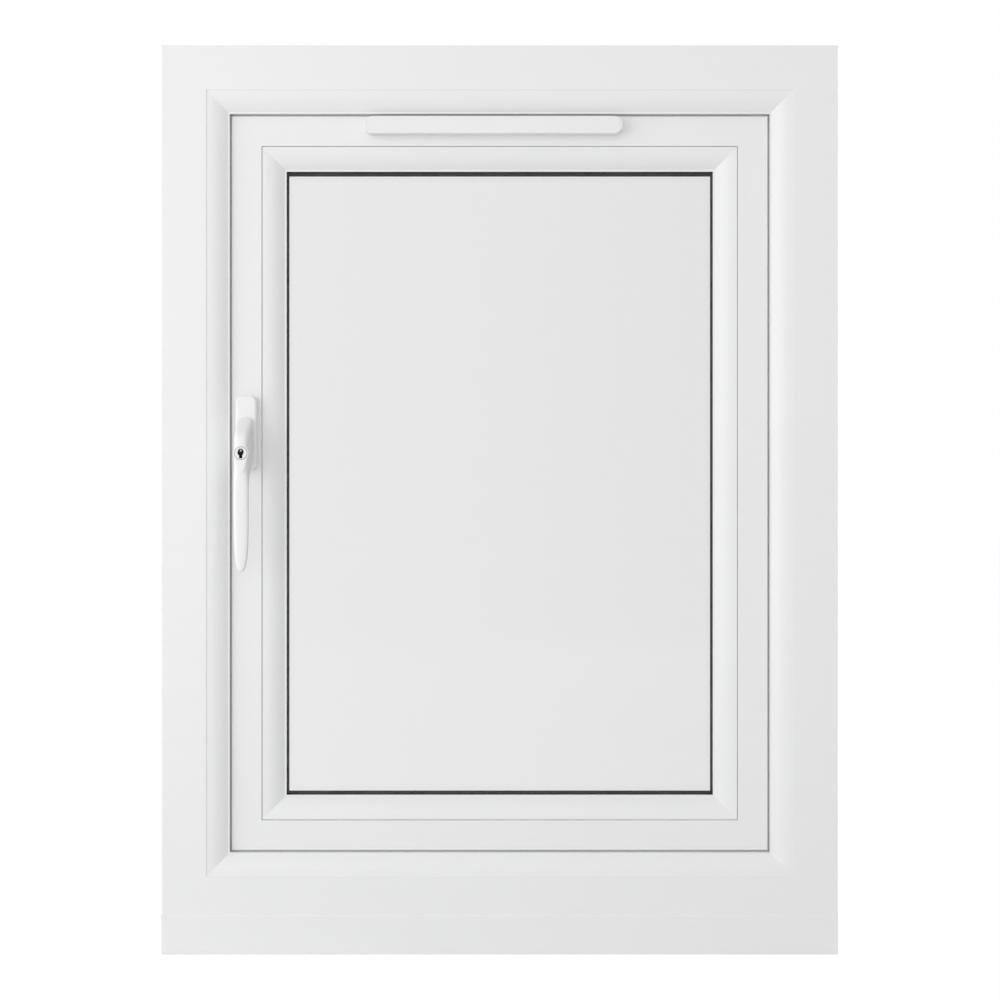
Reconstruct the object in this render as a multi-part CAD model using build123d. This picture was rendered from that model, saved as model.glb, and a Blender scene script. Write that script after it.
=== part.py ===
from build123d import *
import math
import os

# Side-hung casement window with a white hollow-section frame, sash and cill.
# X runs across the window, Y runs out through the wall, Z is up, all in millimetres.
# The cill stands on Z = 0 and the room-side face of the frame is at Y = -35.

# Overall size
frame_width = 610.0
window_height = 820.0
cill_height = 30.0
frame_depth = 70.0
room_face_y = -35.0
mitre_reach = 150.0

# Sight lines, measured inwards from the outer edge of the frame
rebate_floor = 38.0
frame_flat = 40.0
frame_lip = 60.0
sash_flange_edge = 30.0
sash_edge = 52.0
sash_step = 61.2
sash_flat = 88.5
sash_inner_lip = 105.0
bead_edge = 89.2
bead_lip = 110.2
glass_edge = 95.0
spacer_outer = 101.0
spacer_inner = 109.4

# Depths, measured outwards from the room-side face of the frame
quirk_depth = 0.7
lip_depth = 8.3
upstand_back = 12.0
sash_room_face = 12.4
sash_step_depth = 15.0
bead_face = 13.0
bead_quirk_depth = 14.8
bead_lip_depth = 21.2
bead_back = 22.7
inner_pane_face = 24.4
pane_thickness = 4.0
cavity_width = 20.0
glazing_rebate = 55.4
leg_lip_depth = 72.8
sash_flange_back = 73.0
sash_outer_face = 82.4

# Moulded curves, each as a point on the arc and its far end
frame_ovolo = ((50.4, 2.87), (58.4, lip_depth))
bead_ovolo = ((100.1, 15.4), (108.5, bead_lip_depth))
sash_outside_ovolo = ((96.5, 78.8), (sash_flat, 81.2))
sash_outside_start = 103.4
frame_corner_radius = 0.4
sash_corner_radius = 0.8

# Grooves, each as two sight lines and two depths
frame_gasket_groove = (55.0, 57.6, 10.5, upstand_back)
flange_groove = (33.0, 36.0, sash_flange_back, 75.0)
hardware_groove = (sash_edge, 55.2, 36.0, 52.0)
bead_groove = (84.9, sash_flat, 18.4, 21.4)

# Hollow chambers of the sections, in the same two measures
frame_chambers = [
    [(2.8, 2.8), (37.0, 2.8), (37.0, 9.2), (2.8, 9.2)],
    [(38.5, 3.6), (46.0, 4.6), (51.0, 6.4), (52.5, 7.8), (52.5, 9.2), (38.5, 9.2)],
    [(2.8, 10.7), (35.2, 10.7), (35.2, 50.0), (2.8, 50.0)],
    [(2.8, 51.5), (35.2, 51.5), (35.2, 67.2), (2.8, 67.2)],
]
sash_chambers = [
    [(54.8, 17.8), (64.0, 17.8), (64.0, 15.2), (82.1, 15.2), (82.1, 33.2), (54.8, 33.2)],
    [(58.0, 34.7), (85.7, 34.7), (85.7, 53.3), (58.0, 53.3)],
    [(54.8, 54.8), (85.7, 54.8), (85.7, 79.6), (54.8, 79.6)],
    [(38.8, 75.8), (53.3, 75.8), (53.3, 79.6), (38.8, 79.6)],
    [(87.2, 58.2), (102.2, 58.2), (102.2, 70.6), (96.2, 75.6), (87.2, 78.4)],
]

# Seals and the blocks that carry the glass
inner_seal = (105.5, 110.0)
outer_seal = (101.5, 109.2)
block_length = 100.0
block_reach = (130.0, 200.0)

# Cill, with its depths as Y and its chambers in Y and Z
cill_room_y = -36.6
cill_nose_y = 113.4
cill_upstand_top = 35.6
cill_upstand_round = 1.4
end_cap_thickness = 4.5
end_cap_round = 0.2
cill_chambers = [
    [(-34.1, 2.5), (-2.0, 2.5), (-2.0, 27.5), (-34.1, 27.5)],
    [(-0.5, 2.5), (33.6, 2.5), (33.6, 27.5), (-0.5, 27.5)],
    [(35.1, 2.5), (68.0, 2.5), (68.0, 23.9), (35.1, 27.0)],
    [(69.5, 2.5), (101.5, 2.5), (101.5, 19.6), (69.5, 23.6)],
]

# Handle, with heights measured from the room-side face of the sash
handle_x = -229.4
spindle_z = 470.5
spindle_width = 7.0
plate_size = (19.6, 67.5, 9.5)
plate_corner = 6.0
plate_edge = 2.6
lever_base = 9.8
lever_half_width = 7.2
lever_top_z = 484.5
lever_tip_z = 345.6
lever_taper = [(lever_half_width, 425.0), (6.95, 404.0), (6.2, 380.0), (5.1, 364.0), (4.0, 355.0), (2.5, 348.3)]
lever_edge = 1.5
lever_back_edge = 1.2
lever_front_limit = 38.5
lever_back_limit = 31.6
lever_root_z = 424.0
socket_depth = 14.0
neck_radius = 6.0
neck_clearance = 0.05
neck_bottom = 1.5

# Lock in the lever: barrel, keyway and the teardrop boss around it
lock_x = -229.2
lock_z = 451.1
lock_face = 44.2
lock_diameter = 11.6
lock_length = 23.8
keyhole_radius = 2.7
keyhole_z = 452.4
key_slot = (2.7, 446.6)
keyway_depth = 16.0
boss_radii = (6.9, 3.3)
boss_tip_z = 437.3
boss_drop = 0.4

# Trickle vent
vent_x = -5.8
vent_z = 748.6
vent_size = (234.4, 12.0, 16.0)
vent_corner = 7.8
vent_edge = 1.0
vent_cap_line = (2.6, 0.35)
vent_slot = (190.0, 9.0)
canopy_size = (250.0, 15.0, 24.0)
canopy_wall = 1.8

# Lock gear, friction stays and drainage
roller_heights = (250.0, 620.0)
gearbox_half_height = 32.0
stay_depth = 25.5
rivet_positions = (38.0, 112.0, 230.0)
drainage_positions = (-170.0, 170.0)

outer_pane_back = inner_pane_face + 2 * pane_thickness + cavity_width
cavity_start = inner_pane_face + pane_thickness
frame_middle_z = (window_height + cill_height) / 2
frame_height = window_height - cill_height
sash_face_y = room_face_y + sash_room_face
sides = ("left", "right", "top", "bottom")


# A closed outline from corner points; a third number rounds that corner
def outline(*points):
    corners = [(p[0], p[1]) for p in points]
    radii = [p[2] if len(p) > 2 else 0.0 for p in points]
    return make_face(FilletPolyline(*corners, radius=radii, close=True))


# A closed outline where a pair of points is an arc through the first to the second
def outline_with_arcs(start, *steps):
    edges = []
    here = start
    for step in steps:
        if isinstance(step[0], tuple):
            edges.append(ThreePointArc(here, step[0], step[1]))
            here = step[1]
        else:
            edges.append(Line(here, step))
            here = step
    edges.append(Line(here, start))
    return make_face(edges)


# A rectangle between two sight lines and two depths
def rectangle(low_u, high_u, low_v, high_v):
    return outline((low_u, low_v), (high_u, low_v), (high_u, high_v), (low_u, high_v))


# A box between two corners
def block(low, high):
    size = [high[i] - low[i] for i in range(3)]
    middle = [(high[i] + low[i]) / 2 for i in range(3)]
    return Pos(*middle) * Box(*size)


# A round bar along Y, with its front end at a given Y
def bar_along_y(radius, x, front_y, length, z):
    return Pos(x, front_y + length / 2, z) * Rot(90, 0, 0) * Cylinder(radius, length)


# The plane of a section: first axis inwards from the frame edge, second axis outwards
def section_plane(side):
    half = frame_width / 2
    planes = {
        "left": Plane((-half, room_face_y, cill_height), x_dir=(1, 0, 0), z_dir=(0, 0, 1)),
        "right": Plane((half, room_face_y, window_height), x_dir=(-1, 0, 0), z_dir=(0, 0, -1)),
        "bottom": Plane((half, room_face_y, cill_height), x_dir=(0, 0, 1), z_dir=(-1, 0, 0)),
        "top": Plane((-half, room_face_y, window_height), x_dir=(0, 0, -1), z_dir=(1, 0, 0)),
    }
    return planes[side]


# The prism that a member fills between its two 45 degree mitres
def mitre_prism(side):
    half = frame_width / 2
    inner = half - mitre_reach
    low = cill_height
    high = window_height
    shapes = {
        "left": [(-half, low), (-half, high), (-inner, high - mitre_reach), (-inner, low + mitre_reach)],
        "right": [(half, low), (half, high), (inner, high - mitre_reach), (inner, low + mitre_reach)],
        "bottom": [(-half, low), (half, low), (inner, low + mitre_reach), (-inner, low + mitre_reach)],
        "top": [(-half, high), (half, high), (inner, high - mitre_reach), (-inner, high - mitre_reach)],
    }
    face = make_face(Polyline(*shapes[side], close=True))
    upright = Plane.XZ.offset(2 * frame_depth) * face
    return extrude(upright, amount=4 * frame_depth, dir=(0, 1, 0))


# A member with the given section, cut to its mitres
def member(section, side):
    plane = section_plane(side)
    length = frame_height if side in ("left", "right") else frame_width
    bar = extrude(plane * section, amount=length, dir=tuple(plane.z_dir))
    return bar & mitre_prism(side)


# A closed ring of rectangular section
def ring(low_u, high_u, low_v, high_v):
    depth = high_v - low_v
    y = room_face_y + (low_v + high_v) / 2
    outer = Box(frame_width - 2 * low_u, depth, frame_height - 2 * low_u)
    inner = Box(frame_width - 2 * high_u, depth + 2, frame_height - 2 * high_u)
    return Pos(0, y, frame_middle_z) * (outer - inner)


# Section of the outer frame: flat, quirk, ovolo and lip on the room side
def frame_section():
    face = outline_with_arcs(
        (0.0, 0.0),
        (frame_flat, 0.0),
        (frame_flat, quirk_depth),
        frame_ovolo,
        (frame_lip, lip_depth),
        (frame_lip, upstand_back),
        (rebate_floor, upstand_back),
        (rebate_floor, frame_depth),
        (0.0, frame_depth),
    )
    corners = [v for v in face.vertices() if v.X < 0.1]
    face = fillet(corners, radius=frame_corner_radius)
    face -= rectangle(*frame_gasket_groove)
    for chamber in frame_chambers:
        face -= outline(*chamber)
    return face


# Section of the sash: flat face, bead groove, glazing rebate, outside ovolo and flange
def sash_section():
    face = outline_with_arcs(
        (sash_edge, sash_step_depth),
        (sash_step, sash_step_depth),
        (sash_step, sash_room_face),
        (sash_flat, sash_room_face),
        (sash_flat, glazing_rebate),
        (sash_inner_lip, glazing_rebate),
        (sash_inner_lip, leg_lip_depth),
        (sash_outside_start, leg_lip_depth),
        sash_outside_ovolo,
        (sash_flat, sash_outer_face),
        (sash_flange_edge, sash_outer_face),
        (sash_flange_edge, sash_flange_back),
        (sash_edge, sash_flange_back),
    )
    soft = [v for v in face.vertices() if v.X < sash_flange_edge + 0.1]
    soft += [v for v in face.vertices() if v.X < sash_step + 0.1 and v.Y < sash_room_face + 0.1]
    face = fillet(soft, radius=sash_corner_radius)
    for groove in (flange_groove, hardware_groove, bead_groove):
        face -= rectangle(*groove)
    for chamber in sash_chambers:
        face -= outline(*chamber)
    return face


# Section of the glazing bead: ovolo, lip and the clip that snaps into the sash
def bead_section():
    face = outline_with_arcs(
        (bead_edge, bead_face),
        bead_ovolo,
        (bead_lip, bead_lip_depth),
        (bead_lip, bead_back),
        (sash_flat, bead_back),
        (sash_flat, bead_quirk_depth),
        (bead_edge, bead_quirk_depth),
    )
    return face + rectangle(*bead_groove)


# Frame gasket: foot in the groove and a bulb that meets the sash
def frame_gasket():
    low_u, high_u, low_v, high_v = frame_gasket_groove
    return ring(low_u, high_u, low_v, sash_step_depth)


# Sash gasket: foot in the flange groove, bearing on the outside face of the frame
def sash_gasket():
    low_u, high_u, low_v, high_v = flange_groove
    return ring(low_u, high_u, frame_depth, high_v)


# One pane of the glass unit
def pane(low_v):
    width = frame_width - 2 * glass_edge
    height = frame_height - 2 * glass_edge
    y = room_face_y + low_v + pane_thickness / 2
    return Pos(0, y, frame_middle_z) * Box(width, pane_thickness, height)


# Two blocks under the glass and one beside it at each stile
def setting_blocks():
    low_y = room_face_y + inner_pane_face
    high_y = room_face_y + outer_pane_back
    floor_z = cill_height + sash_flat
    glass_z = cill_height + glass_edge
    half = frame_width / 2
    half_length = block_length / 2
    blocks = []
    for sign in (-1, 1):
        x = sign * block_reach[0]
        blocks.append(block((x - half_length, low_y, floor_z), (x + half_length, high_y, glass_z)))
        near, far = sorted((sign * (half - sash_flat), sign * (half - glass_edge)))
        z = frame_middle_z + sign * block_reach[1]
        blocks.append(block((near, low_y, z - half_length), (far, high_y, z + half_length)))
    return Compound(children=blocks)


# Outline of the cill seen from its end, in Y and Z
def cill_outline(upstand_round):
    return outline(
        (cill_room_y, 0.0, 0.8),
        (104.0, 0.0),
        (104.0, 2.4),
        (107.5, 2.4),
        (107.5, 0.0),
        (cill_nose_y, 0.0, 1.0),
        (cill_nose_y, 21.0, 3.2),
        (72.0, 26.0),
        (37.0, cill_height, 3.0),
        (room_face_y, cill_height),
        (room_face_y, cill_upstand_top),
        (cill_room_y, cill_upstand_top, upstand_round),
    )


# Cill: sloped top, upstand over the frame, hollow chambers and a drip groove
def cill():
    half = frame_width / 2 - end_cap_thickness
    face = cill_outline(cill_upstand_round)
    for chamber in cill_chambers:
        face -= outline(*chamber)
    plane = Plane((-half, 0, 0), x_dir=(0, 1, 0), z_dir=(1, 0, 0))
    return extrude(plane * face, amount=2 * half, dir=(1, 0, 0))


# Plastic cap that closes one end of the cill
def cill_end_cap(sign):
    start = frame_width / 2 - end_cap_thickness
    if sign < 0:
        start = -frame_width / 2
    plane = Plane((start, 0, 0), x_dir=(0, 1, 0), z_dir=(1, 0, 0))
    return extrude(plane * cill_outline(end_cap_round), amount=end_cap_thickness, dir=(1, 0, 0))


# Y of a point a given height above the room-side face of the sash
def above_sash(height):
    return sash_face_y - height


# Handle backplate with a round bore in which the lever's neck turns
def handle_backplate():
    width, height, thickness = plate_size
    plate = Box(width, thickness, height)
    plate = fillet(plate.edges().filter_by(Axis.Y), radius=plate_corner)
    front = plate.faces().sort_by(Axis.Y)[0]
    plate = fillet(front.edges(), radius=plate_edge)
    plate = Pos(handle_x, above_sash(thickness / 2), spindle_z) * plate
    return plate - bar_along_y(
        neck_radius + neck_clearance, handle_x, above_sash(2 * thickness), 3 * thickness, spindle_z
    )


# Side outline of the lever, in height above the sash and Z
def lever_side():
    face = outline(
        (lever_base, lever_top_z + 1.2),
        (40.6, 468.5, 12.0),
        (43.4, 451.5, 30.0),
        (40.7, lever_tip_z - 1.5, 4.0),
        (34.6, lever_tip_z - 1.5, 1.8),
        (35.6, 426.0, 10.0),
        (lever_base, 442.5),
    )
    plane = Plane((handle_x, sash_face_y, 0), x_dir=(0, -1, 0), z_dir=(-1, 0, 0))
    return extrude(plane * face, amount=20.0, both=True)


# Front outline of the lever, in X and Z: round head, straight shank and tapering tip
def lever_front():
    half = lever_half_width
    shoulder = lever_top_z - half
    slant = half * math.sqrt(0.5)
    half_outline = [
        ThreePointArc((0.0, lever_top_z), (slant, shoulder + slant), (half, shoulder)),
        Line((half, shoulder), (half, lever_taper[0][1])),
        Spline(*lever_taper, (0.0, lever_tip_z), tangents=[(0, -1), (-1, 0)]),
    ]
    other_half = [mirror(edge, about=Plane.YZ) for edge in half_outline]
    plane = Plane((handle_x, 0, 0), x_dir=(1, 0, 0), z_dir=(0, -1, 0))
    return extrude(plane * make_face(half_outline + other_half), amount=100.0, both=True)


# Teardrop boss that surrounds the lock on the lever
def lock_boss():
    face = make_hull([
        Pos(0, lock_z) * CenterArc((0, 0), boss_radii[0], 0, 360),
        Pos(0, boss_tip_z) * CenterArc((0, 0), boss_radii[1], 0, 360),
    ])
    plane = Plane((lock_x, above_sash(lock_face - boss_drop), 0), x_dir=(1, 0, 0), z_dir=(0, -1, 0))
    boss = extrude(plane * face, amount=6.0, dir=(0, 1, 0))
    return fillet(boss.faces().sort_by(Axis.Y)[0].edges(), radius=0.3)


# The square spindle, or its socket, between two depths
def square_bar(back_y, front_y):
    half = spindle_width / 2
    return block((handle_x - half, front_y, spindle_z - half), (handle_x + half, back_y, spindle_z + half))


# Lever: sloping head, rounded edges, tapering grip and the lock boss
def handle_lever():
    lever = lever_side() & lever_front()
    lever = fillet(lever_front_edges(lever), radius=lever_edge)
    lever = fillet(lever_back_edges(lever), radius=lever_back_edge)
    lever += lock_boss()
    lever -= bar_along_y(lock_diameter / 2, lock_x, above_sash(lock_face), lock_length + 0.4, lock_z)
    neck_length = lever_base - neck_bottom + 1.0
    lever += bar_along_y(neck_radius, handle_x, above_sash(lever_base + 1.0), neck_length, spindle_z)
    return lever - square_bar(above_sash(0.0), above_sash(lever_base + socket_depth))


# Edges around the front of the lever, where a hand closes on it
def lever_front_edges(lever):
    front_y = above_sash(lever_front_limit)
    return [e for e in lever.edges() if e.center().Y < front_y and abs(e.center().X - handle_x) > 1.2]


# Edges along the back of the grip, where the fingers close on it
def lever_back_edges(lever):
    front_y = above_sash(lever_front_limit)
    back_y = above_sash(lever_back_limit)
    return [
        e for e in lever.edges()
        if front_y < e.center().Y < back_y and abs(e.center().X - handle_x) > 1.2 and e.center().Z < lever_root_z
    ]


# Lock cylinder with its keyway
def handle_lock_cylinder():
    front_y = above_sash(lock_face)
    barrel = bar_along_y(lock_diameter / 2, lock_x, front_y, lock_length, lock_z)
    barrel = chamfer(barrel.edges().sort_by(Axis.Y)[0], length=0.35)
    slot_half = key_slot[0] / 2
    barrel -= bar_along_y(keyhole_radius, lock_x, front_y, keyway_depth, keyhole_z)
    return barrel - block(
        (lock_x - slot_half, front_y, key_slot[1]), (lock_x + slot_half, front_y + keyway_depth, keyhole_z)
    )


# Spindle from the lever into the lock gear
def handle_spindle():
    return square_bar(room_face_y + 46.0, above_sash(lever_base + socket_depth - 0.1))


# Cover of the trickle vent on the room side, with the joint lines of its end caps
def vent_cover():
    width, depth, height = vent_size
    inset, line_width = vent_cap_line
    cover = Box(width, depth, height)
    cover = fillet(cover.edges().filter_by(Axis.Y), radius=vent_corner)
    cover = fillet(cover.faces().sort_by(Axis.Y)[0].edges(), radius=vent_edge)
    for sign in (-1, 1):
        x = sign * (width / 2 - inset)
        cover -= Pos(x, -depth / 2, 0) * Box(line_width, 2 * line_width, height + 1)
    return Pos(vent_x, above_sash(depth / 2), vent_z) * cover


# Canopy of the trickle vent on the outside, open underneath
def vent_canopy():
    width, depth, height = canopy_size
    wall = canopy_wall
    half = height / 2
    outer = outline((0, -half), (depth, -half), (depth, half - 7, 3), (depth - 9, half, 2), (0, half))
    hollow = outline(
        (wall, -half - 1),
        (depth - wall, -half - 1),
        (depth - wall, half - 8.0),
        (depth - 9.6, half - wall),
        (wall, half - wall),
    )
    face_y = room_face_y + sash_outer_face
    left = Plane((vent_x - width / 2, face_y, vent_z), x_dir=(0, 1, 0), z_dir=(1, 0, 0))
    inside = Plane((vent_x - width / 2 + wall, face_y, vent_z), x_dir=(0, 1, 0), z_dir=(1, 0, 0))
    canopy = extrude(left * outer, amount=width, dir=(1, 0, 0))
    canopy -= extrude(inside * hollow, amount=width - 2 * wall, dir=(1, 0, 0))
    slot = block(
        (vent_x - vent_slot[0] / 2, face_y - 1, vent_z - vent_slot[1] / 2),
        (vent_x + vent_slot[0] / 2, face_y + wall + 0.5, vent_z + vent_slot[1] / 2),
    )
    return canopy - slot


# Slot through the top rail of the sash behind the trickle vent
def vent_slot_cut():
    width, height = vent_slot
    cut = Box(width, 4 * frame_depth, height)
    cut = fillet(cut.edges().filter_by(Axis.Y), radius=height / 2 - 0.2)
    return Pos(vent_x, 0, vent_z) * cut


# X of the bottom of the hardware groove, where the lock gear sits
def lock_edge_x():
    return hardware_groove[0] - frame_width / 2


# Hole and pocket in the lock stile for the spindle and the lock gear
def lock_stile_cuts():
    hole = bar_along_y(neck_radius, handle_x, sash_face_y - 0.5, 24.0, spindle_z)
    low_y = room_face_y + hardware_groove[2]
    low = (lock_edge_x() + 3.0, low_y + 1.0, spindle_z - gearbox_half_height)
    high = (lock_edge_x() + 7.0, low_y + 15.0, spindle_z + gearbox_half_height)
    return hole, block(low, high)


# Lock gear: faceplate in the groove of the lock stile, gearbox and two rollers
def lock_gear():
    edge_x = lock_edge_x()
    low_y = room_face_y + hardware_groove[2]
    high_y = room_face_y + hardware_groove[3]
    middle_y = (low_y + high_y) / 2
    gear = block((edge_x + 0.6, low_y, 130.0), (edge_x + 3.2, high_y, 720.0))
    gear += block(
        (edge_x + 3.2, low_y + 1.0, spindle_z - gearbox_half_height),
        (edge_x + 30.0, high_y - 1.0, spindle_z + gearbox_half_height),
    )
    for z in roller_heights:
        roller = Rot(0, 90, 0) * Cylinder(4.0, 8.0)
        gear += Pos(edge_x - 3.4, middle_y, z) * roller
    return gear - bar_along_y(5.2, handle_x, low_y - 12.0, 40.0, spindle_z)


# Keeps on the left jamb that hold the rollers from the outside
def lock_keeps():
    floor_x = rebate_floor - frame_width / 2
    high_y = room_face_y + hardware_groove[3]
    keeps = []
    for z in roller_heights:
        keep = block((floor_x, high_y - 20.0, z - 32), (floor_x + 2.5, high_y + 4.0, z + 32))
        keep += block((floor_x + 2.5, high_y - 3.0, z - 14), (floor_x + 8.0, high_y, z + 14))
        keeps.append(keep)
    return Compound(children=keeps)


# Friction stay over the top rail: track, two links and the sash arm on rivets
def friction_stay_top():
    track_z = window_height - rebate_floor
    sash_z = window_height - sash_edge
    y = room_face_y + stay_depth
    stay = block((2.0, y - 9, track_z - 2.6), (262.0, y + 9, track_z))
    stay += block((64.0, y - 8, sash_z), (248.0, y + 8, sash_z + 2.6))
    stay += block((90.0, y - 7, track_z - 5.6), (238.0, y + 7, track_z - 2.6))
    stay += block((30.0, y - 6, sash_z + 2.6), (130.0, y + 6, sash_z + 5.4))
    for x in rivet_positions:
        rivet = Cylinder(4.0, track_z - sash_z)
        stay += Pos(x, y, (track_z + sash_z) / 2) * rivet
    return stay


# The stay under the bottom rail mirrors the one over the top rail
def friction_stay_bottom():
    return mirror(friction_stay_top(), about=Plane.XY.offset(frame_middle_z))


# Drainage slots in the outside face of the bottom rail
def drainage_slots():
    outside_y = room_face_y + frame_depth
    cuts = []
    for x in drainage_positions:
        cuts.append(block((x - 13, outside_y - 4, 41.0), (x + 13, outside_y + 1, 45.5)))
    return cuts


# Hooded caps over the drainage slots, open underneath
def drainage_caps():
    outside_y = room_face_y + frame_depth
    caps = []
    for x in drainage_positions:
        cap = block((x - 17, outside_y, 38.0), (x + 17, outside_y + 4.5, 50.0))
        cap = fillet(cap.faces().sort_by(Axis.Y)[-1].edges(), radius=1.2)
        cap -= block((x - 15, outside_y - 1, 37.0), (x + 15, outside_y + 3.2, 48.4))
        caps.append(cap)
    return Compound(children=caps)


# Members of frame, sash and beads
frame_members = {side: member(frame_section(), side) for side in sides}
sash_members = {side: member(sash_section(), side) for side in sides}
bead_members = {side: member(bead_section(), side) for side in sides}
for cut in drainage_slots():
    frame_members["bottom"] -= cut
for cut in lock_stile_cuts():
    sash_members["left"] -= cut
sash_members["top"] -= vent_slot_cut()

parts = {
    "frame_head": frame_members["top"],
    "frame_left_jamb": frame_members["left"],
    "frame_right_jamb": frame_members["right"],
    "frame_bottom_rail": frame_members["bottom"],
    "frame_gasket": frame_gasket(),
    "cill": cill(),
    "cill_end_cap_left": cill_end_cap(-1),
    "cill_end_cap_right": cill_end_cap(1),
    "drainage_caps": drainage_caps(),
    "sash_top_rail": sash_members["top"],
    "sash_bottom_rail": sash_members["bottom"],
    "sash_lock_stile": sash_members["left"],
    "sash_hinge_stile": sash_members["right"],
    "sash_gasket": sash_gasket(),
    "bead_top": bead_members["top"],
    "bead_bottom": bead_members["bottom"],
    "bead_left": bead_members["left"],
    "bead_right": bead_members["right"],
    "inner_glazing_gasket": ring(*inner_seal, bead_back, inner_pane_face),
    "outer_glazing_gasket": ring(*outer_seal, outer_pane_back, glazing_rebate),
    "inner_pane": pane(inner_pane_face),
    "outer_pane": pane(outer_pane_back - pane_thickness),
    "spacer_bar": ring(spacer_outer, spacer_inner, cavity_start, cavity_start + cavity_width),
    "edge_seal": ring(glass_edge, spacer_outer, cavity_start, cavity_start + cavity_width),
    "setting_blocks": setting_blocks(),
    "handle_backplate": handle_backplate(),
    "handle_lever": handle_lever(),
    "handle_lock_cylinder": handle_lock_cylinder(),
    "handle_spindle": handle_spindle(),
    "vent_cover": vent_cover(),
    "vent_canopy": vent_canopy(),
    "lock_gear": lock_gear(),
    "lock_keeps": lock_keeps(),
    "friction_stay_top": friction_stay_top(),
    "friction_stay_bottom": friction_stay_bottom(),
}

os.makedirs("parts", exist_ok=True)
for name, shape in parts.items():
    export_step(shape, "parts/" + name + ".step")
    print(name, len(shape.solids()), round(shape.volume))
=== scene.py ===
import bpy
import math
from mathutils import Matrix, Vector


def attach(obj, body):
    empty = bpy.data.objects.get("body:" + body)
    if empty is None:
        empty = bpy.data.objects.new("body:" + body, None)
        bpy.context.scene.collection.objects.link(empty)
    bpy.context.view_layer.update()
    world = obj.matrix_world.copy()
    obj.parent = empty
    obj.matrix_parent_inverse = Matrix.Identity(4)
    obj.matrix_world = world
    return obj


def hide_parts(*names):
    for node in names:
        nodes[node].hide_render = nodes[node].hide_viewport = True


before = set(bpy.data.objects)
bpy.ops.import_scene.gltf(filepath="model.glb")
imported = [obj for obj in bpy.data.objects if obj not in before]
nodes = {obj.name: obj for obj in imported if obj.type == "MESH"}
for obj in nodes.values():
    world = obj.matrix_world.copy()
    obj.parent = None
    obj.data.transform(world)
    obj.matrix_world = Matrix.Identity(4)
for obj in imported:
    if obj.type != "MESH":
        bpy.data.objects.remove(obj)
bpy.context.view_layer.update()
bpy.ops.object.select_all(action="DESELECT")
print("window frame loaded:", len(nodes), "pieces")


# Low and high corner of a piece of the frame, and its middle seen from the room
def cornersOf(name):
    places = [vertex.co for vertex in nodes[name].data.vertices]
    low = Vector([min(place[axis] for place in places) for axis in range(3)])
    high = Vector([max(place[axis] for place in places) for axis in range(3)])
    return low, high


def middleOf(name):
    low, high = cornersOf(name)
    return (low.x + high.x) / 2, (low.z + high.z) / 2


# Places of the handle, as the frame has them
lockMiddle = middleOf("handle_lock_cylinder")
spindleMiddle = middleOf("handle_spindle")
sashFace = cornersOf("sash_lock_stile")[0].y


# Small helpers for shader trees
def newMaterial(name):
    material = bpy.data.materials.new(name)
    material.use_nodes = True
    tree = material.node_tree
    shader = tree.nodes["Principled BSDF"]
    return material, tree, shader


def noisePattern(tree, scale, detail, stretch=(1, 1, 1)):
    place = tree.nodes.new("ShaderNodeTexCoord")
    mapping = tree.nodes.new("ShaderNodeMapping")
    mapping.inputs["Scale"].default_value = stretch
    tree.links.new(place.outputs["Object"], mapping.inputs["Vector"])
    pattern = tree.nodes.new("ShaderNodeTexNoise")
    pattern.inputs["Scale"].default_value = scale
    pattern.inputs["Detail"].default_value = detail
    tree.links.new(mapping.outputs["Vector"], pattern.inputs["Vector"])
    return pattern.outputs["Fac"]


def objectAxes(tree):
    place = tree.nodes.new("ShaderNodeTexCoord")
    axes = tree.nodes.new("ShaderNodeSeparateXYZ")
    tree.links.new(place.outputs["Object"], axes.inputs["Vector"])
    return axes


def spread(tree, source, low, high, fromLow=0.3, fromHigh=0.7):
    ramp = tree.nodes.new("ShaderNodeMapRange")
    ramp.inputs["From Min"].default_value = fromLow
    ramp.inputs["From Max"].default_value = fromHigh
    ramp.inputs["To Min"].default_value = low
    ramp.inputs["To Max"].default_value = high
    tree.links.new(source, ramp.inputs["Value"])
    return ramp.outputs["Result"]


def tintBetween(tree, factor, first, second):
    mix = tree.nodes.new("ShaderNodeMix")
    mix.data_type = "RGBA"
    mix.inputs["A"].default_value = (*first, 1)
    mix.inputs["B"].default_value = (*second, 1)
    tree.links.new(factor, mix.inputs["Factor"])
    return mix.outputs["Result"]


def addBump(tree, shader, height, distance, strength, below=None):
    bump = tree.nodes.new("ShaderNodeBump")
    bump.inputs["Strength"].default_value = strength
    bump.inputs["Distance"].default_value = distance
    tree.links.new(height, bump.inputs["Height"])
    if below:
        tree.links.new(below.outputs["Normal"], bump.inputs["Normal"])
    tree.links.new(bump.outputs["Normal"], shader.inputs["Normal"])
    return bump


def mathStep(tree, operation, first, second):
    step = tree.nodes.new("ShaderNodeMath")
    step.operation = operation
    for socket, value in zip(step.inputs, (first, second)):
        if isinstance(value, float):
            socket.default_value = value
        else:
            tree.links.new(value, socket)
    return step.outputs[0]


# White plastic of the extruded profiles: satin, with faint lines along the extrusion
profileFinish = {
    "clean": (0.860, 0.864, 0.864),
    "aged": (0.852, 0.856, 0.855),
    "clouds": (6.0, 3.0),  # size and detail of each pattern
    "smears": (14.0, 4.0),
    "rough": (0.3, 0.36),
    "lines": (12.0, 2.0),
    "lineStretch": {"X": (2.0, 60.0, 60.0), "Z": (60.0, 60.0, 2.0)},
    "lineDepth": 0.000012,
    "lineStrength": 0.5,
    "peel": (900.0, 1.0),
    "peelDepth": 0.000008,
    "peelStrength": 0.4,
    "ior": 1.53,
}


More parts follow.
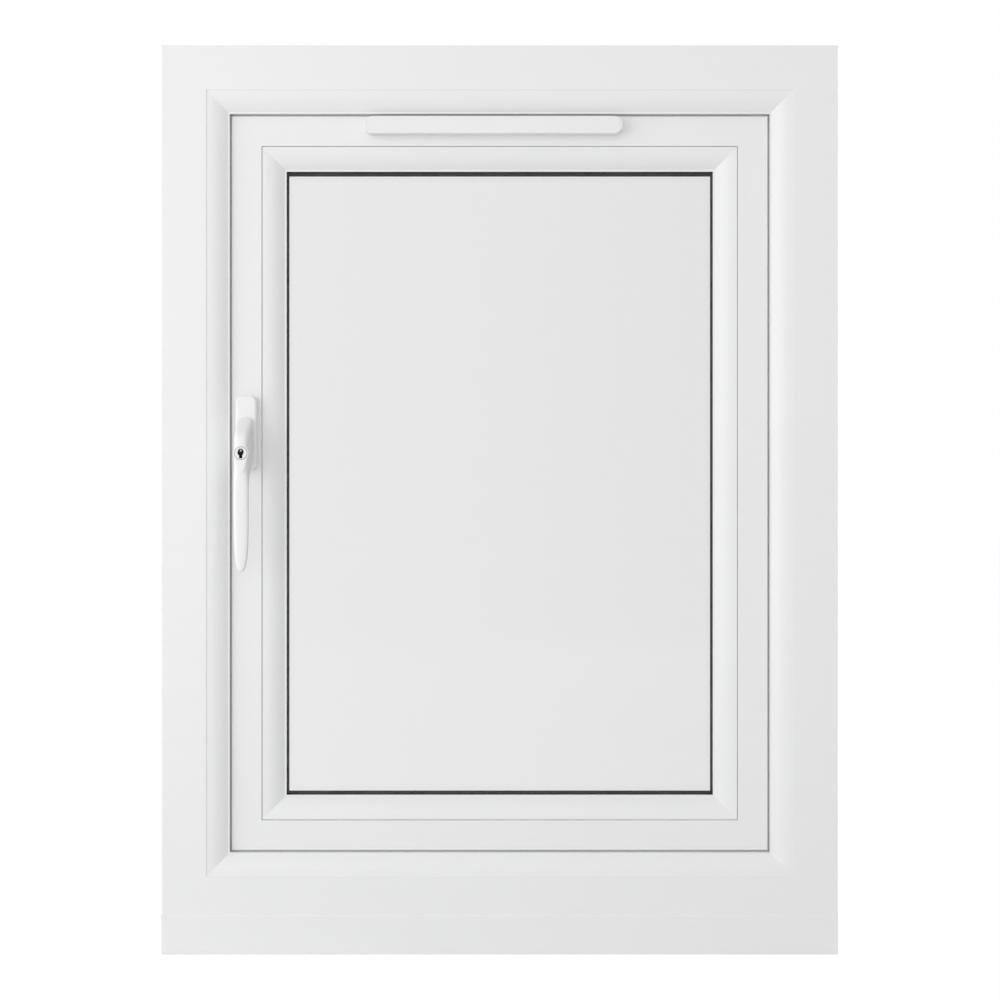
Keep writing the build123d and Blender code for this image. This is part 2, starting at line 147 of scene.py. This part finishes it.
def profileMaterial(name, along):
    finish = profileFinish
    material, tree, shader = newMaterial(name)
    clouds = spread(tree, noisePattern(tree, *finish["clouds"]), 0, 1)
    colour = tintBetween(tree, clouds, finish["clean"], finish["aged"])
    tree.links.new(colour, shader.inputs["Base Color"])
    rough = spread(tree, noisePattern(tree, *finish["smears"]), *finish["rough"])
    tree.links.new(rough, shader.inputs["Roughness"])
    dieLines = noisePattern(tree, *finish["lines"], finish["lineStretch"][along])
    first = addBump(tree, shader, dieLines, finish["lineDepth"], finish["lineStrength"])
    peel = noisePattern(tree, *finish["peel"])
    addBump(tree, shader, peel, finish["peelDepth"], finish["peelStrength"], first)
    shader.inputs["IOR"].default_value = finish["ior"]
    return material


# Moulded plastic of the vent, the caps, the handle and the blocks, slightly glossier
mouldedFinish = {
    "clouds": (18.0, 3.0),
    "shade": 0.988,
    "roughSpread": 0.08,
    "grain": (1400.0, 1.0),
    "grainDepth": 0.00001,
    "grainStrength": 0.5,
}


def mouldedMaterial(name, colour, rough):
    finish = mouldedFinish
    material, tree, shader = newMaterial(name)
    clouds = noisePattern(tree, *finish["clouds"])
    darker = tuple(c * finish["shade"] for c in colour)
    tinted = tintBetween(tree, spread(tree, clouds, 0, 1), colour, darker)
    tree.links.new(tinted, shader.inputs["Base Color"])
    uneven = spread(tree, clouds, rough, rough + finish["roughSpread"])
    tree.links.new(uneven, shader.inputs["Roughness"])
    grain = noisePattern(tree, *finish["grain"])
    addBump(tree, shader, grain, finish["grainDepth"], finish["grainStrength"])
    return material


# Black rubber of the gaskets: matt, dusty in patches
rubberFinish = {
    "dust": (40.0, 4.0),
    "dustLift": 0.006,
    "rough": (0.6, 0.8),
    "gloss": 0.08,
    "ribs": (1100.0, 2.0),
    "ribDepth": 0.00003,
    "ribStrength": 0.6,
}


def rubberMaterial(name, colour):
    finish = rubberFinish
    material, tree, shader = newMaterial(name)
    dust = noisePattern(tree, *finish["dust"])
    dusty = tuple(c + finish["dustLift"] for c in colour)
    tinted = tintBetween(tree, spread(tree, dust, 0, 1), colour, dusty)
    tree.links.new(tinted, shader.inputs["Base Color"])
    tree.links.new(spread(tree, dust, *finish["rough"]), shader.inputs["Roughness"])
    shader.inputs["Specular IOR Level"].default_value = finish["gloss"]
    ribs = noisePattern(tree, *finish["ribs"])
    addBump(tree, shader, ribs, finish["ribDepth"], finish["ribStrength"])
    return material


# Clear float glass with a slight grey, and a painted sheen that makes it a little lighter
# towards the lock side
glassFinish = {
    "sheenBrightSide": (0.9, 0.901, 0.9),
    "sheenDimSide": (0.874, 0.875, 0.874),
    "edges": (-0.18, 0.18),
    "ior": 1.5,
    "reflected": (0.45, 0.45, 0.45),
    "ripple": (3.0, 1.0),
    "rippleDepth": 0.00001,
    "rippleStrength": 0.1,
}


def glassMaterial(name):
    finish = glassFinish
    material, tree, shader = newMaterial(name)
    # Painted sheen: the base colour is graded across the pane, lighter on the lock side, in
    # place of a reflection
    across = spread(tree, objectAxes(tree).outputs["X"], 0, 1, *finish["edges"])
    colour = tintBetween(tree, across, finish["sheenBrightSide"], finish["sheenDimSide"])
    tree.links.new(colour, shader.inputs["Base Color"])
    shader.inputs["Transmission Weight"].default_value = 1.0
    shader.inputs["IOR"].default_value = finish["ior"]
    shader.inputs["Specular Tint"].default_value = (*finish["reflected"], 1)
    shader.inputs["Roughness"].default_value = 0.0
    ripple = noisePattern(tree, *finish["ripple"])
    addBump(tree, shader, ripple, finish["rippleDepth"], finish["rippleStrength"])
    return material


# Metal of the spindle and the hidden hardware, brushed
metalFinish = {
    "colour": (0.62, 0.62, 0.61),
    "shade": 0.88,
    "rough": (0.28, 0.42),
    "brush": (220.0, 3.0),
    "brushStretch": (0.1, 1, 1),
    "brushDepth": 0.00002,
    "brushStrength": 0.4,
}


def metalMaterial(name):
    finish = metalFinish
    material, tree, shader = newMaterial(name)
    brush = noisePattern(tree, *finish["brush"], finish["brushStretch"])
    shader.inputs["Metallic"].default_value = 1.0
    darker = tuple(c * finish["shade"] for c in finish["colour"])
    tinted = tintBetween(tree, spread(tree, brush, 0, 1), finish["colour"], darker)
    tree.links.new(tinted, shader.inputs["Base Color"])
    tree.links.new(spread(tree, brush, *finish["rough"]), shader.inputs["Roughness"])
    addBump(tree, shader, brush, finish["brushDepth"], finish["brushStrength"])
    return material


# Bright lock face, with the keyway and the gap round the barrel painted dark as their shade
lockFinish = {
    "keyOffset": (-0.0002, 0.0004),  # from the middle of the lock
    "keyRadius": 0.0027,
    "slotHalf": 0.00145,
    "slotBelow": 0.0046,
    "slotAbove": 0.0041,
    "faceRadius": 0.00545,
    "bright": (0.86, 0.86, 0.86),
    "dark": (0.004, 0.004, 0.004),
    "rough": (0.16, 0.24),
    "turned": (900.0, 2.0),
    "turnedDepth": 0.000006,
    "turnedStrength": 0.4,
}


def radiusFrom(tree, axes, middle):
    across = mathStep(tree, "SUBTRACT", axes.outputs["X"], middle[0])
    up = mathStep(tree, "SUBTRACT", axes.outputs["Z"], middle[1])
    acrossSquare = mathStep(tree, "POWER", across, 2.0)
    upSquare = mathStep(tree, "POWER", up, 2.0)
    squares = mathStep(tree, "ADD", acrossSquare, upSquare)
    return mathStep(tree, "SQRT", squares, 0.0), mathStep(tree, "ABSOLUTE", across, 0.0)


def lockMaterial(name):
    finish = lockFinish
    material, tree, shader = newMaterial(name)
    axes = objectAxes(tree)
    height = axes.outputs["Z"]
    across, up = lockMiddle
    keyMiddle = (across + finish["keyOffset"][0], up + finish["keyOffset"][1])
    keyRadius = radiusFrom(tree, axes, keyMiddle)[0]
    faceRadius, sideways = radiusFrom(tree, axes, lockMiddle)
    # Painted shade: the keyway's hole and slot are painted near black on the face
    hole = mathStep(tree, "LESS_THAN", keyRadius, finish["keyRadius"])
    narrow = mathStep(tree, "LESS_THAN", sideways, finish["slotHalf"])
    low = mathStep(tree, "LESS_THAN", height, up + finish["slotAbove"])
    high = mathStep(tree, "GREATER_THAN", height, up - finish["slotBelow"])
    slot = mathStep(tree, "MULTIPLY", mathStep(tree, "MULTIPLY", narrow, low), high)
    # Painted shade: a dark ring beyond the face's radius stands for the shade in the gap round
    # the barrel
    gapShade = mathStep(tree, "GREATER_THAN", faceRadius, finish["faceRadius"])
    dark = mathStep(tree, "MAXIMUM", mathStep(tree, "MAXIMUM", hole, slot), gapShade)
    colour = tintBetween(tree, dark, finish["bright"], finish["dark"])
    tree.links.new(colour, shader.inputs["Base Color"])
    tree.links.new(mathStep(tree, "SUBTRACT", 1.0, dark), shader.inputs["Metallic"])
    turned = noisePattern(tree, *finish["turned"])
    tree.links.new(spread(tree, turned, *finish["rough"]), shader.inputs["Roughness"])
    addBump(tree, shader, turned, finish["turnedDepth"], finish["turnedStrength"])
    return material


# Colour of each plastic and rubber, and the least roughness of the plastics
plasticColours = {
    "vent": ((0.864, 0.868, 0.868), 0.3),
    "handle": ((0.872, 0.874, 0.873), 0.29),
    "blocks": ((0.1, 0.2, 0.5), 0.4),
}
rubberColours = {"gaskets": (0.009, 0.009, 0.01), "spacer": (0.014, 0.015, 0.017)}

uprightWhite = profileMaterial("profile_white_upright", "Z")
crossWhite = profileMaterial("profile_white_cross", "X")
ventWhite = mouldedMaterial("moulded_white", *plasticColours["vent"])
handleWhite = mouldedMaterial("handle_white_paint", *plasticColours["handle"])
blockBlue = mouldedMaterial("block_plastic", *plasticColours["blocks"])
gasketBlack = rubberMaterial("gasket_rubber", rubberColours["gaskets"])
spacerBlack = rubberMaterial("spacer_black", rubberColours["spacer"])
clearGlass = glassMaterial("clear_glass")
lockMetal = lockMaterial("lock_polished")
hardwareSteel = metalMaterial("hardware_steel")
print("materials made")

# Each finish with the pieces of the frame that wear it
pieceFinishes = (
    (crossWhite, ("frame_head", "frame_bottom_rail", "cill")),
    (crossWhite, ("sash_top_rail", "sash_bottom_rail", "bead_top", "bead_bottom")),
    (uprightWhite, ("frame_left_jamb", "frame_right_jamb")),
    (uprightWhite, ("sash_lock_stile", "sash_hinge_stile", "bead_left", "bead_right")),
    (ventWhite, ("cill_end_cap_left", "cill_end_cap_right", "drainage_caps")),
    (ventWhite, ("vent_cover", "vent_canopy")),
    (gasketBlack, ("frame_gasket", "sash_gasket", "edge_seal")),
    (gasketBlack, ("inner_glazing_gasket", "outer_glazing_gasket")),
    (spacerBlack, ("spacer_bar",)),
    (blockBlue, ("setting_blocks",)),
    (clearGlass, ("inner_pane", "outer_pane")),
    (handleWhite, ("handle_backplate", "handle_lever")),
    (lockMetal, ("handle_lock_cylinder",)),
    (hardwareSteel, ("handle_spindle", "lock_gear", "lock_keeps")),
    (hardwareSteel, ("friction_stay_top", "friction_stay_bottom")),
)
for finish, names in pieceFinishes:
    for name in names:
        if not nodes[name].material_slots:
            nodes[name].data.materials.append(finish)
        for slot in nodes[name].material_slots:
            slot.material = finish
for name in ("inner_pane", "outer_pane"):
    nodes[name].visible_shadow = False
print("finishes put on the pieces")

# Lever of the handle: rounded grip and sloping head, drawn ring by ring from the tip up
leverSetup = {
    "middleX": -0.2296,
    "cornerShare": 31,  # percent of each side of a ring
    "cornerSteps": 3,
    "smoothing": 2,
    # Height above the floor, half width, back and front heights above the sash, in millimetres
    "rings": [
        (345.9, 0.9, 36.8, 38.2),
        (346.5, 1.9, 35.6, 39.7),
        (348.0, 3.0, 34.9, 40.7),
        (351.0, 4.1, 34.7, 41.0),
        (355.5, 5.0, 34.6, 41.1),
        (363.0, 5.9, 34.7, 41.3),
        (372.0, 6.45, 34.8, 41.6),
        (384.0, 6.7, 35.0, 41.9),
        (402.0, 6.75, 35.3, 42.3),
        (418.0, 6.75, 35.5, 42.7),
        (425.0, 6.75, 34.4, 42.9),
        (430.0, 6.9, 29.6, 43.0),
        (436.0, 7.1, 20.2, 43.2),
        (441.0, 7.25, 12.4, 43.3),
        (444.0, 7.35, 9.9, 43.4),
        (452.0, 7.4, 9.8, 43.4),
        (460.0, 7.35, 9.8, 42.4),
        (465.5, 7.25, 9.8, 40.8),
        (470.0, 7.1, 9.8, 36.8),
        (474.5, 7.15, 9.8, 29.6),
        (478.0, 7.1, 9.8, 23.4),
        (480.5, 6.5, 9.8, 19.2),
        (482.6, 4.9, 9.8, 15.4),
        (483.9, 2.8, 9.8, 12.9),
        (484.4, 1.2, 9.8, 11.4),
    ],
    "boreRadius": 0.0058,
    "boreHeights": (0.0204, 0.05),
    "boreCorners": 64,
    "neckRadius": 0.006,
    "neckHeights": (0.0015, 0.0108),
    "neckCorners": 48,
    "smoothAngle": 35,
}


def heightAt(height):
    return sashFace - height


# A modifier put on and applied at once
def addModifier(piece, kind, **values):
    bpy.context.view_layer.objects.active = piece
    modifier = piece.modifiers.new(kind.lower(), kind)
    for name, value in values.items():
        setattr(modifier, name, value)
    bpy.ops.object.modifier_apply(modifier=modifier.name)


def cutAway(piece, cutter):
    addModifier(piece, "BOOLEAN", operation="DIFFERENCE", solver="EXACT", object=cutter)
    bpy.data.objects.remove(cutter)


# A round rod along the depth, between two heights above the sash
def makeRod(name, radius, middle, heights, corners):
    bpy.ops.object.select_all(action="DESELECT")
    low, high = heights
    bpy.ops.mesh.primitive_cylinder_add(
        vertices=corners,
        radius=radius,
        depth=high - low,
        location=(middle[0], heightAt((low + high) / 2), middle[1]),
        rotation=(math.radians(90), 0, 0),
    )
    rod = bpy.context.object
    rod.name = name
    bpy.ops.object.transform_apply(location=True, rotation=True, scale=True)
    return rod


# Drum of teardrop outline that stands round the lock
drumSetup = {
    "radius": 0.0069,
    "tipRadius": 0.0033,
    "tipDrop": 0.0138,
    "tipMargin": 0.0005,  # how far under the middle the tip begins
    "heights": (0.0366, 0.0438),
    "corners": 48,
    "edge": 0.0003,
    "edgeSteps": 2,
    "boreHeights": (0.03, 0.05),
}

# Half ring that cuts the fine line under the drum's tip
rimLineSetup = {
    "radius": 0.0037,
    "half": 0.0004,
    "height": 0.043,
    "corners": 12,
    "steps": 24,
}


def makeRimLine():
    setup = rimLineSetup
    bpy.ops.object.select_all(action="DESELECT")
    across, up = lockMiddle
    middle = Vector((across, heightAt(setup["height"]), up - drumSetup["tipDrop"]))
    start = middle + Vector((setup["radius"], 0, 0))
    bpy.ops.mesh.primitive_circle_add(
        vertices=setup["corners"], radius=setup["half"], fill_type="NGON", location=start
    )
    line = bpy.context.object
    bpy.ops.object.mode_set(mode="EDIT")
    bpy.ops.mesh.spin(steps=setup["steps"], angle=math.pi, center=middle, axis=(0, 1, 0))
    bpy.ops.mesh.select_all(action="SELECT")
    bpy.ops.mesh.normals_make_consistent(inside=False)
    bpy.ops.object.mode_set(mode="OBJECT")
    bpy.ops.object.transform_apply(location=True, rotation=True, scale=True)
    return line


def inMetres(ring):
    ringZ, halfWidth, back, front = (value / 1000 for value in ring)
    middle = Vector((leverSetup["middleX"], heightAt((back + front) / 2), ringZ))
    return middle, halfWidth, front - back


def makeGrip():
    setup = leverSetup
    bpy.ops.object.select_all(action="DESELECT")
    middle, width, depth = inMetres(setup["rings"][0])
    bpy.ops.mesh.primitive_plane_add(size=2.0, location=middle)
    lever = bpy.context.object
    lever.name = "lever_grip"
    bpy.ops.object.mode_set(mode="EDIT")
    bpy.ops.transform.resize(value=(width, depth / 2, 1), center_override=middle)
    bpy.ops.mesh.bevel(
        affect="VERTICES",
        offset_type="PERCENT",
        offset_pct=setup["cornerShare"],
        segments=setup["cornerSteps"],
    )
    bpy.ops.mesh.select_all(action="SELECT")
    for ring in setup["rings"][1:]:
        place, ringWidth, ringDepth = inMetres(ring)
        growth = (ringWidth / width, ringDepth / depth, 1)
        bpy.ops.mesh.extrude_region_move(TRANSFORM_OT_translate={"value": place - middle})
        bpy.ops.transform.resize(value=growth, center_override=place)
        middle, width, depth = place, ringWidth, ringDepth
    bpy.ops.mesh.select_all(action="SELECT")
    bpy.ops.mesh.normals_make_consistent(inside=False)
    bpy.ops.object.mode_set(mode="OBJECT")
    levels = setup["smoothing"]
    addModifier(lever, "SUBSURF", levels=levels, render_levels=levels)
    bore = (setup["boreRadius"], lockMiddle, setup["boreHeights"])
    cutAway(lever, makeRod("lever_bore", *bore, setup["boreCorners"]))
    cutAway(lever, makeRimLine())
    return lever


# Vertices picked by their place, all others left
def selectVertices(piece, wanted):
    mesh = piece.data
    for part in (*mesh.polygons, *mesh.edges):
        part.select = False
    for vertex in mesh.vertices:
        vertex.select = wanted(vertex.co)


def makeDrum():
    setup = drumSetup
    bpy.ops.object.select_all(action="DESELECT")
    across, up = lockMiddle
    back, front = setup["heights"]
    middle = Vector((across, heightAt(back), up))
    bpy.ops.mesh.primitive_circle_add(
        vertices=setup["corners"],
        radius=setup["radius"],
        fill_type="NGON",
        location=middle,
        rotation=(math.radians(90), 0, 0),
    )
    drum = bpy.context.object
    drum.name = "lever_lock_rim"
    bpy.ops.object.transform_apply(location=True, rotation=True, scale=True)
    selectVertices(drum, lambda place: place.z < up - setup["tipMargin"])
    bpy.ops.object.mode_set(mode="EDIT")
    shrink = setup["tipRadius"] / setup["radius"]
    bpy.ops.transform.resize(value=(shrink, 1, shrink), center_override=middle)
    bpy.ops.transform.translate(value=(0, 0, -setup["tipDrop"]))
    bpy.ops.mesh.select_all(action="SELECT")
    bpy.ops.mesh.extrude_region_move(TRANSFORM_OT_translate={"value": (0, back - front, 0)})
    bpy.ops.mesh.bevel(offset=setup["edge"], segments=setup["edgeSteps"])
    bpy.ops.mesh.select_all(action="SELECT")
    bpy.ops.mesh.normals_make_consistent(inside=False)
    bpy.ops.object.mode_set(mode="OBJECT")
    bore = (leverSetup["boreRadius"], lockMiddle, setup["boreHeights"])
    cutAway(drum, makeRod("rim_bore", *bore, leverSetup["boreCorners"]))
    return drum


def finishLever():
    setup = leverSetup
    lever = makeGrip()
    drum = makeDrum()
    neckMiddle = (setup["middleX"], spindleMiddle[1])
    neckSize = (setup["neckHeights"], setup["neckCorners"])
    neck = makeRod("lever_neck", setup["neckRadius"], neckMiddle, *neckSize)
    bpy.ops.object.select_all(action="DESELECT")
    for piece in (drum, neck, lever):
        piece.select_set(True)
    bpy.context.view_layer.objects.active = lever
    bpy.ops.object.join()
    bpy.ops.object.transform_apply(location=True, rotation=True, scale=True)
    bpy.ops.object.shade_smooth_by_angle(angle=math.radians(setup["smoothAngle"]))
    lever.data.materials.clear()
    lever.data.materials.append(handleWhite)
    return lever


lever = finishLever()
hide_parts("handle_lever")
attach(lever, "handle")
print("lever made")


# One where a ray comes from the camera, a reflection or through glass
def seenDirectly(tree):
    path = tree.nodes.new("ShaderNodeLightPath")
    through = mathStep(
        tree, "MAXIMUM", path.outputs["Is Camera Ray"], path.outputs["Is Transmission Ray"]
    )
    return mathStep(tree, "MAXIMUM", through, path.outputs["Is Glossy Ray"])


# Floor: plain and pale, white where it is seen, with a share of its own light for the shadow
floorSetup = {
    "size": 40.0,
    "albedo": (0.8, 0.8, 0.8),
    "rough": 0.9,
    "shadowShare": 0.1,
    "white": 1.05,
    "paper": (30.0, 2.0),
    "paperDepth": 0.0002,
    "paperStrength": 0.1,
}


def makeFloor():
    setup = floorSetup
    bpy.ops.mesh.primitive_plane_add(size=setup["size"], location=(0, 0, 0))
    floor = bpy.context.object
    floor.name = "studio_floor"
    material, tree, shader = newMaterial("floor_pale")
    shader.inputs["Base Color"].default_value = (*setup["albedo"], 1)
    shader.inputs["Roughness"].default_value = setup["rough"]
    shader.inputs["Specular IOR Level"].default_value = 0.0
    paper = noisePattern(tree, *setup["paper"])
    addBump(tree, shader, paper, setup["paperDepth"], setup["paperStrength"])
    white = tree.nodes.new("ShaderNodeEmission")
    white.inputs["Strength"].default_value = setup["white"]
    share = mathStep(tree, "MULTIPLY", seenDirectly(tree), 1 - setup["shadowShare"])
    mix = tree.nodes.new("ShaderNodeMixShader")
    tree.links.new(share, mix.inputs["Fac"])
    tree.links.new(shader.outputs["BSDF"], mix.inputs[1])
    tree.links.new(white.outputs["Emission"], mix.inputs[2])
    tree.links.new(mix.outputs["Shader"], tree.nodes["Material Output"].inputs["Surface"])
    floor.data.materials.append(material)


# Even white surroundings, at full white only where they are seen
worldSetup = {"fill": 0.695, "seen": 1.0}


def makeWorld():
    world = bpy.data.worlds.new("studio_white")
    bpy.context.scene.world = world
    world.use_nodes = True
    tree = world.node_tree
    background = tree.nodes["Background"]
    background.inputs["Color"].default_value = (1, 1, 1, 1)
    strength = spread(tree, seenDirectly(tree), worldSetup["fill"], worldSetup["seen"], 0, 1)
    tree.links.new(strength, background.inputs["Strength"])


# Soft lamps: three to the left on the room side, one behind the camera, a weak one outside
lampSetup = {
    "softbox_left_near": {
        "place": (-1.15, -0.75, 0.45),
        "aim": (0.0, 0.0, 0.42),
        "size": 1.0,
        "power": 2.05,
        "glints": True,
    },
    "softbox_left_wall": {
        "place": (-2.0, -1.25, 0.5),
        "aim": (0.4, -1.0, 0.42),
        "size": 2.4,
        "power": 15.2,
        "glints": True,
    },
    "softbox_left_far": {
        "place": (-2.6, -3.7, 1.2),
        "aim": (0.0, 0.0, 0.42),
        "size": 1.5,
        "power": 11.8,
        "glints": True,
    },
    "softbox_behind_camera": {
        "place": (-0.3, -3.2, 0.9),
        "aim": (0.0, 0.0, 0.42),
        "size": 2.4,
        "power": 12.6,
        "glints": False,
    },
    "softbox_outside": {
        "place": (0.9, 3.2, 1.5),
        "aim": (0.0, 0.0, 0.42),
        "size": 1.6,
        "power": 9.0,
        "glints": False,
    },
}


def makeLamps():
    for name, setup in lampSetup.items():
        bpy.ops.object.light_add(type="AREA", location=setup["place"])
        lamp = bpy.context.object
        lamp.name = name
        lamp.data.size = setup["size"]
        lamp.data.energy = setup["power"]
        aim = Vector(setup["aim"]) - Vector(setup["place"])
        lamp.rotation_euler = aim.to_track_quat("-Z", "Y").to_euler()
        lamp.visible_transmission = False
        lamp.visible_glossy = setup["glints"]


# Camera straight in front of the room side, level with the middle of the window
cameraSetup = {"place": (0.00027, -1.685, 0.4097), "lens": 65.83, "sensor": 36.0}


def makeCamera():
    level = (math.radians(90), 0, 0)
    bpy.ops.object.camera_add(location=cameraSetup["place"], rotation=level)
    camera = bpy.context.object
    camera.data.lens = cameraSetup["lens"]
    camera.data.sensor_width = cameraSetup["sensor"]
    bpy.context.scene.camera = camera


makeFloor()
makeWorld()
makeLamps()
makeCamera()
bpy.context.scene.view_settings.view_transform = "Standard"
print("studio ready")
